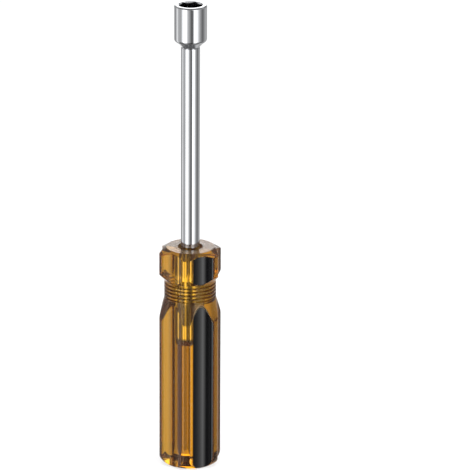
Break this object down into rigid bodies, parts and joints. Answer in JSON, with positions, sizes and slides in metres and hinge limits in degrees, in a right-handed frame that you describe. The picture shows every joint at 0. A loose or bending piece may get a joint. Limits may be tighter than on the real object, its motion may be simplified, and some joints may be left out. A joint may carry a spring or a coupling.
{
  "type": "nut driver",
  "caption": "Nut driver with a clear amber fluted handle, a ringed neck, black strips along every second flute, a plated round shaft and a fixed hexagon socket head.",
  "frame": {"origin": "centre of the butt face, on the tool's axis, where it stands upright on a table", "axes": "+Z along the shaft from the butt towards the socket's mouth; -Y is the side with the first black strip, the one the picture shows; +X is to the right as one looks at it"},
  "size_m": [0.024, 0.022, 0.18],
  "materials": {
    "amber_plastic": "polished clear amber, turned parts a little hazy",
    "black_plastic": "opaque, smooth gloss",
    "plated_steel": "bright plating over turned steel"
  },
  "bodies": {
    "root": {"handle": "amber_plastic", "grip_strip_1": "black_plastic", "grip_strip_2": "black_plastic", "grip_strip_3": "black_plastic", "collar_strip_1": "black_plastic", "collar_strip_2": "black_plastic", "collar_strip_3": "black_plastic", "shaft": "plated_steel", "socket": "plated_steel"}
  },
  "joints": []
}
